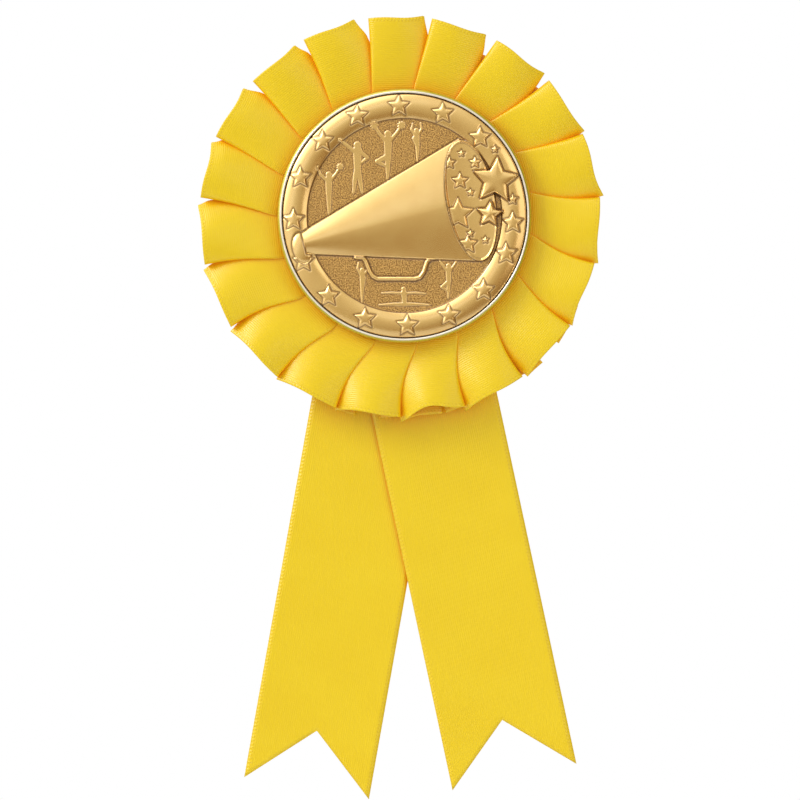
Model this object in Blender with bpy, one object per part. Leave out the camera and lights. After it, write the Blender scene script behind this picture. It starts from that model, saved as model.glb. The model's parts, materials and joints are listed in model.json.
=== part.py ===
"""Award ribbon: a two-tailed rosette with a relief medal, as the separate pieces it is put together from.

Metres, +Z up. The rosette hangs upright as it is worn: its front faces -Y and a viewer's right is +X.
The origin is the middle of the pin bar's rear face, where the garment lies between the bar and the stem.
Run it with: blender --background --python part.py
"""

import math

import bmesh
import bpy

MM = 0.001
INCH = 25.4 * MM

# Driving dimensions.
GAP = 0.3 * MM  # air between two pieces that lie on each other
PIN_ABOVE_CENTRE = 10 * MM  # the pin sits above the medal's centre, so the rosette hangs upright

HOLDER_RADIUS = 1 * INCH  # the standard 2 in insert
HOLDER_WALL = 0.8 * MM
HOLDER_FLOOR = 0.6 * MM
HOLDER_HEIGHT = 3.4 * MM
HOLDER_ASIDE = (0.5 * MM, -0.2 * MM)  # it is glued on by hand, a little off the middle of the cards

MEDAL_RADIUS = HOLDER_RADIUS - HOLDER_WALL - GAP
MEDAL_FIELD_HEIGHT = 1.0 * MM
MEDAL_BAND_INNER = 19.5 * MM
MEDAL_BAND_OUTER = 23.9 * MM
MEDAL_BAND_HEIGHT = 1.15 * MM
MEDAL_BAND_CROWN = 0.6 * MM
STAR_PLACES = 16
STAR_RING_RADIUS = 22 * MM
STAR_RADIUS = 2.1 * MM
STAR_RISE = 0.2 * MM  # above the crown of the band
STAR_WAIST = 0.45  # inner radius of a star's outline over its outer radius
FOAM_PAD_RADIUS = 22.5 * MM

PLEATS = 19
RUFFLE_INNER = 15.2 * MM
RUFFLE_OUTER = 40.2 * MM
RUFFLE_SEWN_THICKNESS = 1.6 * MM
RUFFLE_ASIDE = (-0.4 * MM, -0.4 * MM)  # it is glued on by hand too
THREAD_RADIUS = 0.3 * MM
GLUE_RING_INNER = 15.6 * MM
GLUE_RING_OUTER = 23 * MM

RIBBON_WIDTH = 1 * INCH
TAIL_THICKNESS = 0.5 * MM
TAIL_ABOVE_CROSSING = 5.1 * MM
TAIL_NOTCH_DEPTH = 11.7 * MM
TAIL_TILT = {"left": math.radians(10.1), "right": math.radians(12.1)}
TAIL_REACH = {"left": 109.2 * MM, "right": 107.6 * MM}  # from the crossing to the tips
CROSSING_BELOW_CENTRE = 7.4 * MM
HINGE_BELOW_CENTRE = 42.5 * MM  # the tails start to swing just below the ruffle

BASE_CARD_RADIUS = 25 * MM
BACK_CARD_RADIUS = 27 * MM
BACK_CARD_CLEAR_RADIUS = 20.5 * MM  # outside this radius nothing lies over the back card
CARD_PAD_RADIUS = 20 * MM
CARD_PAD_LOWEST = 2 * MM  # the glue between the cards stays above the tails' upper ends
HOLDER_PAD_RADIUS = 8 * MM

STAPLE_WIRE = 0.5 * MM
STAPLE_CROWN = 12 * MM
STAPLE_CLINCH = 4 * MM
STAPLE_BELOW_CENTRE = 10.5 * MM
STAPLE_HOLE_RADIUS = 0.55 * MM
STAPLE_HOLE_DEPTH = 6 * MM

BAR_LENGTH = 32 * MM
BAR_WIDTH = 5 * MM
BAR_THICKNESS = 0.8 * MM
BAR_CLEAR_HALF_LENGTH = 8 * MM  # the middle of the bar, where the garment bears
PIN_PAD_HALF_LENGTH = 14 * MM
EAR_THICKNESS = 0.5 * MM
STEM_RADIUS = 0.45 * MM
STEM_HEIGHT = 3.2 * MM  # the stem's centre line behind the bar's rear face
STEM_POINT_LENGTH = 3 * MM
HINGE_X = -13.5 * MM
STEM_POINT_RADIUS = 0.08 * MM
RIVET_RADIUS = 0.45 * MM
RIVET_HEAD_RADIUS = 0.95 * MM
RIVET_HEAD_HEIGHT = 0.4 * MM
EYE_BORE = 0.6 * MM
EYE_RADIUS = 1.05 * MM
CATCH_X = 11.1 * MM
STEM_TIP_X = 14.2 * MM
STEM_SIDES = 12
SLOT_WIDTH = 1.3 * MM
BARREL_RADIUS = 1.7 * MM
BARREL_BORE = 0.65 * MM
BARREL_LENGTH = 2.3 * MM
BARREL_BOSS_RADIUS = 1.05 * MM
LOCK_TAB_HALF_WIDTH = 0.6 * MM
LOCK_TAB_REACH = 2.9 * MM
CATCH_BORE = 1.2 * MM

ROUND_SIDES = 64
PAD_SIDES = 48
SMALL_SIDES = 20
OVERLAP = 0.4 * MM  # how far a shape that is joined on sinks into its body


def in_front_of(depth, thickness, gap=GAP):
    """Back and front Y of a flat piece that lies in front of the depth given."""
    back = depth - gap
    return back, back - thickness


# The stack of pieces, from the pin bar at the back to the medal at the front, as (back, front) depths.
PIN_PAD = in_front_of(-BAR_THICKNESS, 0.7 * MM)
BACK_CARD = in_front_of(PIN_PAD[1], 0.8 * MM)
CROWN = in_front_of(BACK_CARD[1], STAPLE_WIRE)
TAIL_LEFT = in_front_of(CROWN[1], TAIL_THICKNESS)
TAIL_RIGHT = in_front_of(TAIL_LEFT[1], TAIL_THICKNESS)
BASE_CARD = in_front_of(TAIL_RIGHT[1], 1.0 * MM)
CLINCH = in_front_of(BASE_CARD[1], STAPLE_WIRE)
GLUE_RING = in_front_of(BASE_CARD[1], 0.5 * MM)
RUFFLE = in_front_of(GLUE_RING[1], RUFFLE_SEWN_THICKNESS)
HOLDER = in_front_of(RUFFLE[1], HOLDER_FLOOR)
FOAM_PAD = in_front_of(HOLDER[1], 0.8 * MM)
MEDAL = in_front_of(FOAM_PAD[1], MEDAL_FIELD_HEIGHT)
TAIL_DEPTH = {"left": TAIL_LEFT[0], "right": TAIL_RIGHT[0]}


def clear_scene():
    for old in list(bpy.data.objects):
        bpy.data.objects.remove(old, do_unlink=True)


def material(name, colour, roughness, metallic=0.0):
    made = bpy.data.materials.new(name)
    made.use_nodes = True
    shader = made.node_tree.nodes["Principled BSDF"]
    shader.inputs["Base Color"].default_value = (*colour, 1.0)
    shader.inputs["Roughness"].default_value = roughness
    shader.inputs["Metallic"].default_value = metallic
    return made


def empty(name, place):
    made = bpy.data.objects.new(name, None)
    made.location = place
    bpy.context.collection.objects.link(made)
    return made


def solid(name, bm, made_of, parent, place=(0, 0, 0)):
    """An object from a closed bmesh, with its faces turned out, shaded smooth between sharp edges."""
    bmesh.ops.recalc_face_normals(bm, faces=bm.faces)
    mesh = bpy.data.meshes.new(name)
    bm.to_mesh(mesh)
    bm.free()
    mesh.shade_smooth()
    mesh.set_sharp_from_angle(angle=math.radians(35))
    mesh.materials.append(made_of)
    made = bpy.data.objects.new(name, mesh)
    made.parent = parent
    made.location = place
    bpy.context.collection.objects.link(made)
    return made


def combine(target, operation, tool):
    """Joins the tool to the target or cuts it away, and leaves the tool as a guide."""
    cut = target.modifiers.new(f"{operation.lower()} {tool.name}", "BOOLEAN")
    cut.operation = operation
    cut.solver = "EXACT"
    cut.object = tool
    tool.hide_render = True
    tool.display_type = "WIRE"


def loft(bm, rings):
    """Skins a run of equally long vertex rings, and fills its first and last ring."""
    for one, other in zip(rings, rings[1:]):
        for i in range(len(one)):
            j = (i + 1) % len(one)
            bm.faces.new((one[i], one[j], other[j], other[i]))
    bm.faces.new(rings[0])
    bm.faces.new(rings[-1])


def around(axis, radius, height, angle):
    """The point at a radius, angle and height in the coordinates of a turned shape on that axis."""
    u = radius * math.cos(angle)
    v = radius * math.sin(angle)
    return {"X": (height, u, v), "Y": (u, -height, v), "Z": (u, v, height)}[axis]


def turned(bm, profile, axis="Y", sides=ROUND_SIDES, closed=False):
    """Turns (radius, height) points about an axis. On Y, height runs forward. A closed profile is a ring."""
    rings = []
    for radius, height in profile:
        count = sides if radius > 0 else 1
        turns = [2 * math.pi * i / sides for i in range(count)]
        rings.append([bm.verts.new(around(axis, radius, height, turn)) for turn in turns])
    if closed:
        rings.append(rings[0])
    for one, other in zip(rings, rings[1:]):
        for i in range(sides):
            j = (i + 1) % sides
            corners = [one[i % len(one)], one[j % len(one)], other[j % len(other)], other[i % len(other)]]
            bm.faces.new(list(dict.fromkeys(corners)))
    return bm


def disc_profile(radius, thickness):
    return [(0, 0), (radius, 0), (radius, thickness), (0, thickness)]


def ring_profile(inner, outer, low, high):
    return [(inner, low), (outer, low), (outer, high), (inner, high)]


def rod_profile(radius, length):
    """The profile of a plain rod, centred on its length."""
    return [(0, -length / 2), (radius, -length / 2), (radius, length / 2), (0, length / 2)]


def box(bm, low, high):
    """A closed box between two opposite corners."""
    made = bmesh.ops.create_cube(bm, size=1.0)["verts"]
    for vert in made:
        vert.co = [a + (b - a) * (c + 0.5) for a, b, c in zip(low, high, vert.co)]
    return bm


def plate(bm, outline, thickness, back=0.0):
    """A flat plate from an (x, z) outline, its back face at y=back and its front towards -Y."""
    face = bm.faces.new([bm.verts.new((x, back, z)) for x, z in outline])
    grown = bmesh.ops.extrude_face_region(bm, geom=[face])["geom"]
    moved = [v for v in grown if isinstance(v, bmesh.types.BMVert)]
    bmesh.ops.translate(bm, verts=moved, vec=(0, -thickness, 0))
    return bm


def star_outline(centre, radius, waist=STAR_WAIST):
    """A five-pointed star with one point up."""
    points = []
    for i in range(10):
        reach = radius if i % 2 == 0 else radius * waist
        turn = math.pi * i / 5
        points.append((centre[0] + reach * math.sin(turn), centre[1] + reach * math.cos(turn)))
    return points


# The medal and its holder.

MEGAPHONE_SMALL_END = (-19.3 * MM, -5.4 * MM)
MEGAPHONE_BELL = (13.2 * MM, 3.0 * MM)
MEGAPHONE_LEAN = math.radians(10.5)
SMALL_END_HALF_WIDTH = 2.4 * MM
BELL_HALF_LENGTH = 12.2 * MM
BELL_HALF_WIDTH = 5.2 * MM
CONE_RISE = (0.9 * MM, 1.9 * MM)  # above the field, at the small end and at the bell
BELL_RISE = 1.5 * MM
BIG_STAR_CENTRE = (17.9 * MM, 6.6 * MM)
BIG_STAR_RADIUS = 4.4 * MM
BIG_STAR_RISE = 2.0 * MM


def medal_body(bm):
    band_points = [(MEDAL_BAND_INNER, MEDAL_BAND_HEIGHT)]
    for i in range(1, 6):
        share = i / 6
        radius = MEDAL_BAND_INNER + (MEDAL_BAND_OUTER - MEDAL_BAND_INNER) * share
        crown = MEDAL_BAND_CROWN * math.sin(math.pi * share)
        band_points.append((radius, MEDAL_BAND_HEIGHT + crown))
    band_points.append((MEDAL_BAND_OUTER, MEDAL_BAND_HEIGHT))
    rim = [(MEDAL_RADIUS - GAP, 0), (MEDAL_RADIUS, GAP), (MEDAL_RADIUS, MEDAL_FIELD_HEIGHT - GAP)]
    field = [(MEDAL_BAND_INNER, MEDAL_FIELD_HEIGHT), (0, MEDAL_FIELD_HEIGHT)]
    return turned(bm, [(0, 0), *rim, *reversed(band_points), *field])


def band_stars(bm):
    """The ring of stars, leaving out the place that the big star takes and the one under the mouthpiece."""
    taken = {3, 11}
    for i in range(STAR_PLACES):
        if i in taken:
            continue
        turn = 2 * math.pi * i / STAR_PLACES
        centre = (STAR_RING_RADIUS * math.sin(turn), STAR_RING_RADIUS * math.cos(turn))
        height = MEDAL_BAND_HEIGHT + MEDAL_BAND_CROWN + STAR_RISE
        plate(bm, star_outline(centre, STAR_RADIUS), height - OVERLAP, back=-OVERLAP)
    return bm


def megaphone_cone(bm):
    """Half a cone lying on the field, from its small end to the bell."""
    rings = []
    stations = 7
    for i in range(stations):
        share = i / (stations - 1)
        x = MEGAPHONE_SMALL_END[0] + (MEGAPHONE_BELL[0] - MEGAPHONE_SMALL_END[0]) * share
        z = MEGAPHONE_SMALL_END[1] + (MEGAPHONE_BELL[1] - MEGAPHONE_SMALL_END[1]) * share
        half_width = SMALL_END_HALF_WIDTH + (BELL_HALF_LENGTH - SMALL_END_HALF_WIDTH) * share
        rise = CONE_RISE[0] + (CONE_RISE[1] - CONE_RISE[0]) * share
        ring = []
        arc_steps = 10
        for j in range(arc_steps + 1):
            turn = math.pi * j / arc_steps
            along = half_width * math.cos(turn)
            height = MEDAL_FIELD_HEIGHT + rise * math.sin(turn)
            lean_x, lean_z = -math.sin(MEGAPHONE_LEAN), math.cos(MEGAPHONE_LEAN)
            ring.append((x + along * lean_x, -height, z + along * lean_z))
        for end in (ring[-1], ring[0]):
            ring.append((end[0], -OVERLAP, end[2]))
        rings.append([bm.verts.new(point) for point in ring])
    loft(bm, rings)
    return bm


def megaphone_bell(bm):
    """The oval mouth of the megaphone, a plate across the end of the cone."""
    outline = []
    for i in range(SMALL_SIDES):
        turn = 2 * math.pi * i / SMALL_SIDES
        wide = BELL_HALF_WIDTH * math.cos(turn)
        long = BELL_HALF_LENGTH * math.sin(turn)
        x = MEGAPHONE_BELL[0] + wide * math.cos(MEGAPHONE_LEAN) - long * math.sin(MEGAPHONE_LEAN)
        z = MEGAPHONE_BELL[1] + wide * math.sin(MEGAPHONE_LEAN) + long * math.cos(MEGAPHONE_LEAN)
        outline.append((x, z))
    return plate(bm, outline, MEDAL_FIELD_HEIGHT + BELL_RISE - OVERLAP, back=-OVERLAP)


def make_medal(centre, gold):
    place = (0, MEDAL[0], 0)
    medal = solid("medal_insert", medal_body(bmesh.new()), gold, centre, place)
    stars = solid("guide_band_stars", band_stars(bmesh.new()), gold, centre, place)
    cone = solid("guide_megaphone_cone", megaphone_cone(bmesh.new()), gold, centre, place)
    bell = solid("guide_megaphone_bell", megaphone_bell(bmesh.new()), gold, centre, place)
    big_star = bmesh.new()
    rise = MEDAL_FIELD_HEIGHT + BIG_STAR_RISE - OVERLAP
    plate(big_star, star_outline(BIG_STAR_CENTRE, BIG_STAR_RADIUS), rise, back=-OVERLAP)
    big = solid("guide_big_star", big_star, gold, centre, place)
    for relief in (stars, cone, bell, big):
        combine(medal, "UNION", relief)


def make_holder(centre, holder_plastic, foam, glue):
    lip = HOLDER_WALL / 2
    inside = HOLDER_RADIUS - HOLDER_WALL
    profile = [(0, 0), (HOLDER_RADIUS - lip, 0), (HOLDER_RADIUS, lip)]
    for i in range(5):
        turn = math.pi * i / 4
        radius = HOLDER_RADIUS - lip + lip * math.cos(turn)
        profile.append((radius, HOLDER_HEIGHT - lip + lip * math.sin(turn)))
    profile += [(inside, HOLDER_FLOOR), (0, HOLDER_FLOOR)]
    solid("insert_holder", turned(bmesh.new(), profile), holder_plastic, centre, (0, HOLDER[0], 0))
    pad = disc_profile(FOAM_PAD_RADIUS, FOAM_PAD[0] - FOAM_PAD[1])
    solid("insert_foam_pad", turned(bmesh.new(), pad, sides=PAD_SIDES), foam, centre, (0, FOAM_PAD[0], 0))
    make_holder_glue_pad(centre, glue)


def make_holder_glue_pad(centre, glue):
    """A squashed blob of glue that fills the middle of the ruffle, from the base card to the holder."""
    back = BASE_CARD[1] - GAP
    height = back - (HOLDER[0] + GAP)
    pressed = 0.8 * HOLDER_PAD_RADIUS
    blob = [(0, 0), (pressed, 0), (HOLDER_PAD_RADIUS, height * 0.3)]
    blob += [(HOLDER_PAD_RADIUS, height * 0.7), (pressed, height), (0, height)]
    solid("holder_glue_pad", turned(bmesh.new(), blob, sides=PAD_SIDES), glue, centre, (0, back, 0))


# The pleated ruffle.

FIRST_FOLD = math.radians(-9.1)  # the outer end of the fold left of the topmost tab, clockwise from the top
FOLD_LEAN = math.radians(3.5)  # a fold's outer end lies this far clockwise of its inner end
TAB_STATIONS = (0.0, 0.06, 0.3, 0.6, 0.88, 0.985)  # shares of one pleat, from its fold clockwise
TAB_REACH = (-2.2 * MM, 0, -0.3 * MM, 0.1 * MM, 0.8 * MM, -2.2 * MM)  # of the outer edge, at each station
FRONT_RADII = (RUFFLE_INNER, 26.6 * MM, 28.5 * MM, 32 * MM, 36 * MM)
REAR_RADII = (33 * MM, 25 * MM, RUFFLE_INNER)
FLAT_RADIUS = 26.6 * MM  # inside this the pleats are pressed flat under the holder
FOLD_RISE = 3.4 * MM
TUCK_RISE = -0.3 * MM
REAR_RISE = 0.5 * MM


def pleat_point(pleat, share, radius, height):
    outward = (radius - RUFFLE_INNER) / (RUFFLE_OUTER - RUFFLE_INNER)
    turn = FIRST_FOLD + 2 * math.pi * (pleat + share) / PLEATS + FOLD_LEAN * (outward - 1)
    return (radius * math.sin(turn), -height, radius * math.cos(turn))


def pleat_height(share, radius):
    """Front surface above the ruffle's back: highest past the fold, falling to the next pleat's tuck."""
    outward = max(0.0, (radius - FLAT_RADIUS) / (RUFFLE_OUTER - FLAT_RADIUS)) ** 0.6
    fall = (1 - share) ** 0.8
    return RUFFLE_SEWN_THICKNESS + outward * (TUCK_RISE + (FOLD_RISE - TUCK_RISE) * fall)


def rear_height(radius):
    outward = max(0.0, (radius - BASE_CARD_RADIUS) / (RUFFLE_OUTER - BASE_CARD_RADIUS))
    return REAR_RISE * outward


def ruffle_ring(bm):
    """One closed ring: each column of vertices runs out over the front and back along the rear."""
    columns = []
    for pleat in range(PLEATS):
        for share, reach in zip(TAB_STATIONS, TAB_REACH):
            edge = RUFFLE_OUTER + reach
            front = [(radius, pleat_height(share, radius)) for radius in (*FRONT_RADII, edge)]
            rear = [(radius, rear_height(radius)) for radius in (edge, *REAR_RADII)]
            columns.append([bm.verts.new(pleat_point(pleat, share, *point)) for point in front + rear])
    for i, one in enumerate(columns):
        other = columns[(i + 1) % len(columns)]
        for j in range(len(one)):
            k = (j + 1) % len(one)
            bm.faces.new((one[j], one[k], other[k], other[j]))
    return bm


def make_gathering_thread(centre, thread):
    """The drawn-up stitching that closes the ruffle's middle, as one loop of thread."""
    loop_radius = RUFFLE_INNER - GAP - THREAD_RADIUS
    level = RUFFLE_SEWN_THICKNESS / 2
    sides = 6
    profile = []
    for i in range(sides):
        turn = 2 * math.pi * i / sides
        aside, up = THREAD_RADIUS * math.cos(turn), THREAD_RADIUS * math.sin(turn)
        profile.append((loop_radius + aside, level + up))
    loop = turned(bmesh.new(), profile, sides=PAD_SIDES, closed=True)
    solid("ruffle_gathering_thread", loop, thread, centre, (0, RUFFLE[0], 0))


def make_ruffle(centre, satin, thread, glue):
    solid("ruffle_ribbon", ruffle_ring(bmesh.new()), satin, centre, (0, RUFFLE[0], 0))
    make_gathering_thread(centre, thread)
    profile = ring_profile(GLUE_RING_INNER, GLUE_RING_OUTER, 0, GLUE_RING[0] - GLUE_RING[1])
    ring = turned(bmesh.new(), profile, sides=PAD_SIDES, closed=True)
    solid("ruffle_glue_ring", ring, glue, centre, (0, GLUE_RING[0], 0))


# The two tails. Each is drawn along its own ribbon: along runs down it, across runs to a viewer's right.


def tail_point(side, along, across):
    """The (x, z) place of a point of a tail, from the medal's centre."""
    tilt = TAIL_TILT[side]
    hand = 1 if side == "right" else -1
    x = hand * math.sin(tilt) * along + math.cos(tilt) * across
    z = -CROSSING_BELOW_CENTRE - math.cos(tilt) * along + hand * math.sin(tilt) * across
    return x, z


def along_at_level(side, across, level):
    """How far along a tail its edge reaches a level below the medal's centre."""
    tilt = TAIL_TILT[side]
    hand = 1 if side == "right" else -1
    return (level - CROSSING_BELOW_CENTRE + hand * math.sin(tilt) * across) / math.cos(tilt)


def upper_end_outline(side):
    half = RIBBON_WIDTH / 2
    level = HINGE_BELOW_CENTRE - GAP
    corners = [(-TAIL_ABOVE_CROSSING, -half), (-TAIL_ABOVE_CROSSING, half)]
    corners += [(along_at_level(side, across, level), across) for across in (half, -half)]
    return [tail_point(side, *corner) for corner in corners]


def swinging_outline(side):
    half = RIBBON_WIDTH / 2
    level = HINGE_BELOW_CENTRE + GAP
    reach = TAIL_REACH[side]
    corners = [(along_at_level(side, across, level), across) for across in (-half, half)]
    corners += [(reach, half), (reach - TAIL_NOTCH_DEPTH, 0), (reach, -half)]
    return [tail_point(side, *corner) for corner in corners]


def make_tail(side, centre, satin, leg_holes):
    """A tail's fixed upper end, and the tail below it with its origin on the line it swings about."""
    back = TAIL_DEPTH[side]
    upper = plate(bmesh.new(), upper_end_outline(side), TAIL_THICKNESS)
    held = solid(f"tail_{side}_upper_end", upper, satin, centre, (0, back, 0))
    combine(held, "DIFFERENCE", leg_holes)
    hinge = (0, back - TAIL_THICKNESS / 2, -HINGE_BELOW_CENTRE)
    outline = [(x, z + HINGE_BELOW_CENTRE) for x, z in swinging_outline(side)]
    lower = plate(bmesh.new(), outline, TAIL_THICKNESS, back=TAIL_THICKNESS / 2)
    solid(f"tail_{side}", lower, satin, centre, hinge)


# The cards, the staple and the glue between the cards.


def staple_holes(bm):
    for x in (-STAPLE_CROWN / 2, STAPLE_CROWN / 2):
        hole = bmesh.new()
        turned(hole, disc_profile(STAPLE_HOLE_RADIUS, STAPLE_HOLE_DEPTH), sides=8)
        bmesh.ops.translate(hole, verts=hole.verts, vec=(x, CROWN[0], -STAPLE_BELOW_CENTRE))
        mesh = bpy.data.meshes.new("hole")
        hole.to_mesh(mesh)
        hole.free()
        bm.from_mesh(mesh)
        bpy.data.meshes.remove(mesh)
    return bm


def make_staple(centre, wire_metal):
    """One wire: the crown behind the tails, two legs through the stack, and their ends clinched inwards."""
    crown = (CROWN[0] + CROWN[1]) / 2
    clinch = (CLINCH[0] + CLINCH[1]) / 2
    half = STAPLE_CROWN / 2
    bend = STAPLE_WIRE / 2
    one_side = [
        (half - STAPLE_CLINCH, clinch),
        (half - bend, clinch),
        (half, clinch + bend),
        (half, crown - bend),
        (half - bend, crown),
    ]
    route = one_side + [(-x, y) for x, y in reversed(one_side)]
    curve = bpy.data.curves.new("tail_staple", "CURVE")
    curve.dimensions = "3D"
    curve.bevel_depth = STAPLE_WIRE / 2
    curve.bevel_resolution = 1
    curve.use_fill_caps = True
    wire = curve.splines.new("POLY")
    wire.points.add(len(route) - 1)
    for point, (x, y) in zip(wire.points, route):
        point.co = (x, y, 0, 1)
    curve.materials.append(wire_metal)
    staple = bpy.data.objects.new("tail_staple", curve)
    staple.parent = centre
    staple.location = (0, 0, -STAPLE_BELOW_CENTRE)
    bpy.context.collection.objects.link(staple)


def make_cards(centre, card, glue, leg_holes):
    base = disc_profile(BASE_CARD_RADIUS, BASE_CARD[0] - BASE_CARD[1])
    base_card = solid("base_card", turned(bmesh.new(), base), card, centre, (0, BASE_CARD[0], 0))
    combine(base_card, "DIFFERENCE", leg_holes)
    back = disc_profile(BACK_CARD_RADIUS, BACK_CARD[0] - BACK_CARD[1])
    back.insert(1, (BACK_CARD_CLEAR_RADIUS, 0))
    solid("back_card", turned(bmesh.new(), back), card, centre, (0, BACK_CARD[0], 0))
    make_card_glue_pad(centre, glue)


def make_card_glue_pad(centre, glue):
    """The glue between the cards: the part of a disc that lies above the tails' upper ends."""
    end = math.acos(CARD_PAD_LOWEST / CARD_PAD_RADIUS)
    arc_steps = 24
    outline = []
    for i in range(arc_steps + 1):
        turn = -end + 2 * end * i / arc_steps
        outline.append((CARD_PAD_RADIUS * math.sin(turn), CARD_PAD_RADIUS * math.cos(turn)))
    pad = plate(bmesh.new(), outline, BACK_CARD[1] - BASE_CARD[0] - 2 * GAP)
    solid("card_glue_pad", pad, glue, centre, (0, BACK_CARD[1] - GAP, 0))


# The pin: bar, rivet, stem and the roller that locks the catch. Its height runs backwards, along +Y.

HINGE_EAR_INSIDE = 1.1 * MM
HINGE_EAR_HALF_LENGTH = 1.5 * MM
EAR_TOP = 1.9 * MM  # above the stem's centre line
CATCH_EAR_HALF_WIDTH = 2.0 * MM
RUNNING_GAP = 0.25 * MM
RIVET_CLEARANCE = 0.15 * MM
EYE_HALF_LENGTH = 0.8 * MM


def bar_plate(bm):
    """The flat bar, its length divided so that the clear middle has faces of its own."""
    stations = (-BAR_LENGTH / 2, -BAR_CLEAR_HALF_LENGTH, BAR_CLEAR_HALF_LENGTH + MM, BAR_LENGTH / 2)
    half = BAR_WIDTH / 2
    rings = []
    for x in stations:
        section = [(x, -BAR_THICKNESS, -half), (x, -BAR_THICKNESS, half), (x, 0, half), (x, 0, -half)]
        rings.append([bm.verts.new(point) for point in section])
    loft(bm, rings)
    return bm


def hinge_ear(bm, low, high):
    return box(
        bm,
        (HINGE_X - HINGE_EAR_HALF_LENGTH, -OVERLAP, low),
        (HINGE_X + HINGE_EAR_HALF_LENGTH, STEM_HEIGHT + EAR_TOP - OVERLAP, high),
    )


def catch_ear_near_edge(end):
    """The X of a catch ear's face next to the barrel, and of its outer face."""
    near = CATCH_X + end * (BARREL_LENGTH / 2 + RUNNING_GAP)
    return near, near + end * EAR_THICKNESS


def catch_ear(bm, end):
    near, far = sorted(catch_ear_near_edge(end))
    top = STEM_HEIGHT + EAR_TOP
    return box(bm, (near, -OVERLAP, -CATCH_EAR_HALF_WIDTH), (far, top, CATCH_EAR_HALF_WIDTH))


def make_bar(steel, foam):
    bar = solid("pin_bar", bar_plate(bmesh.new()), steel, None)
    for hand, side in ((1, "upper"), (-1, "lower")):
        low, high = sorted((hand * HINGE_EAR_INSIDE, hand * (HINGE_EAR_INSIDE + EAR_THICKNESS)))
        ear = solid(f"guide_hinge_ear_{side}", hinge_ear(bmesh.new(), low, high), steel, None)
        combine(bar, "UNION", ear)
    for end, side in ((1, "outer"), (-1, "inner")):
        ear = solid(f"guide_catch_ear_{side}", catch_ear(bmesh.new(), end), steel, None)
        combine(bar, "UNION", ear)
    ear_span = 6 * MM
    rivet_hole = turned(bmesh.new(), rod_profile(EYE_BORE, ear_span), "Z", SMALL_SIDES)
    hole = solid("guide_rivet_hole", rivet_hole, steel, None, (HINGE_X, STEM_HEIGHT, 0))
    catch_hole = turned(bmesh.new(), rod_profile(CATCH_BORE, ear_span), "X", SMALL_SIDES)
    bore = solid("guide_catch_bore", catch_hole, steel, None, (CATCH_X, STEM_HEIGHT, 0))
    half_span, half_slot = ear_span / 2, SLOT_WIDTH / 2
    mouth = box(bmesh.new(), (-half_span, 0, -half_slot), (half_span, half_span, half_slot))
    slot = solid("guide_catch_mouth", mouth, steel, None, (CATCH_X, STEM_HEIGHT, 0))
    for cutter in (hole, bore, slot):
        combine(bar, "DIFFERENCE", cutter)
    half, tape = PIN_PAD_HALF_LENGTH, PIN_PAD[0] - PIN_PAD[1]
    pad = box(bmesh.new(), (-half, -tape, -BAR_WIDTH / 2), (half, 0, BAR_WIDTH / 2))
    solid("pin_adhesive_pad", pad, foam, None, (0, PIN_PAD[0], 0))


def make_rivet(steel):
    ear_outside = HINGE_EAR_INSIDE + EAR_THICKNESS
    base = ear_outside + RIVET_CLEARANCE
    top = base + RIVET_HEAD_HEIGHT
    upper = [(RIVET_RADIUS, base), (RIVET_HEAD_RADIUS, base), (0.7 * RIVET_HEAD_RADIUS, top), (0, top)]
    profile = [(radius, -height) for radius, height in reversed(upper)] + upper
    rivet = turned(bmesh.new(), profile, "Z", SMALL_SIDES)
    solid("pin_hinge_rivet", rivet, steel, None, (HINGE_X, STEM_HEIGHT, 0))


def make_stem(steel):
    """The eye turned about the rivet, with the pointed wire joined to it."""
    profile = ring_profile(EYE_BORE, EYE_RADIUS, -EYE_HALF_LENGTH, EYE_HALF_LENGTH)
    eye = turned(bmesh.new(), profile, "Z", SMALL_SIDES, closed=True)
    stem = solid("pin_stem", eye, steel, None, (HINGE_X, STEM_HEIGHT, 0))
    start = (EYE_BORE + EYE_RADIUS) / 2
    tip = STEM_TIP_X - HINGE_X
    shank = [(0, start), (STEM_RADIUS, start), (STEM_RADIUS, tip - STEM_POINT_LENGTH)]
    shank += [(STEM_POINT_RADIUS, tip), (0, tip)]
    wire = turned(bmesh.new(), shank, "X", STEM_SIDES)
    combine(stem, "UNION", solid("guide_stem_wire", wire, steel, None, (HINGE_X, STEM_HEIGHT, 0)))


def make_lock_barrel(steel):
    """A roller on the stem's line whose slot lets the stem in at rest, and covers the mouth when turned."""
    place = (CATCH_X, STEM_HEIGHT, 0)
    half = BARREL_LENGTH / 2
    boss_end = half + RUNNING_GAP + EAR_THICKNESS
    profile = [(BARREL_BORE, -boss_end), (BARREL_BOSS_RADIUS, -boss_end), (BARREL_BOSS_RADIUS, -half)]
    profile += [(BARREL_RADIUS, -half), (BARREL_RADIUS, half), (BARREL_BOSS_RADIUS, half)]
    profile += [(BARREL_BOSS_RADIUS, boss_end), (BARREL_BORE, boss_end)]
    roller = turned(bmesh.new(), profile, "X", SMALL_SIDES, closed=True)
    barrel = solid("pin_lock_barrel", roller, steel, None, place)
    half_width, half_thickness = LOCK_TAB_HALF_WIDTH, LOCK_TAB_HALF_WIDTH / 2
    low = (-half_width, -half_thickness, -LOCK_TAB_REACH)
    tab = box(bmesh.new(), low, (half_width, half_thickness, -BARREL_RADIUS + OVERLAP))
    combine(barrel, "UNION", solid("guide_lock_tab", tab, steel, None, place))
    reach = boss_end + MM
    mouth = box(bmesh.new(), (-reach, 0, -SLOT_WIDTH / 2), (reach, BARREL_RADIUS + MM, SLOT_WIDTH / 2))
    combine(barrel, "DIFFERENCE", solid("guide_lock_slot", mouth, steel, None, place))


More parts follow.
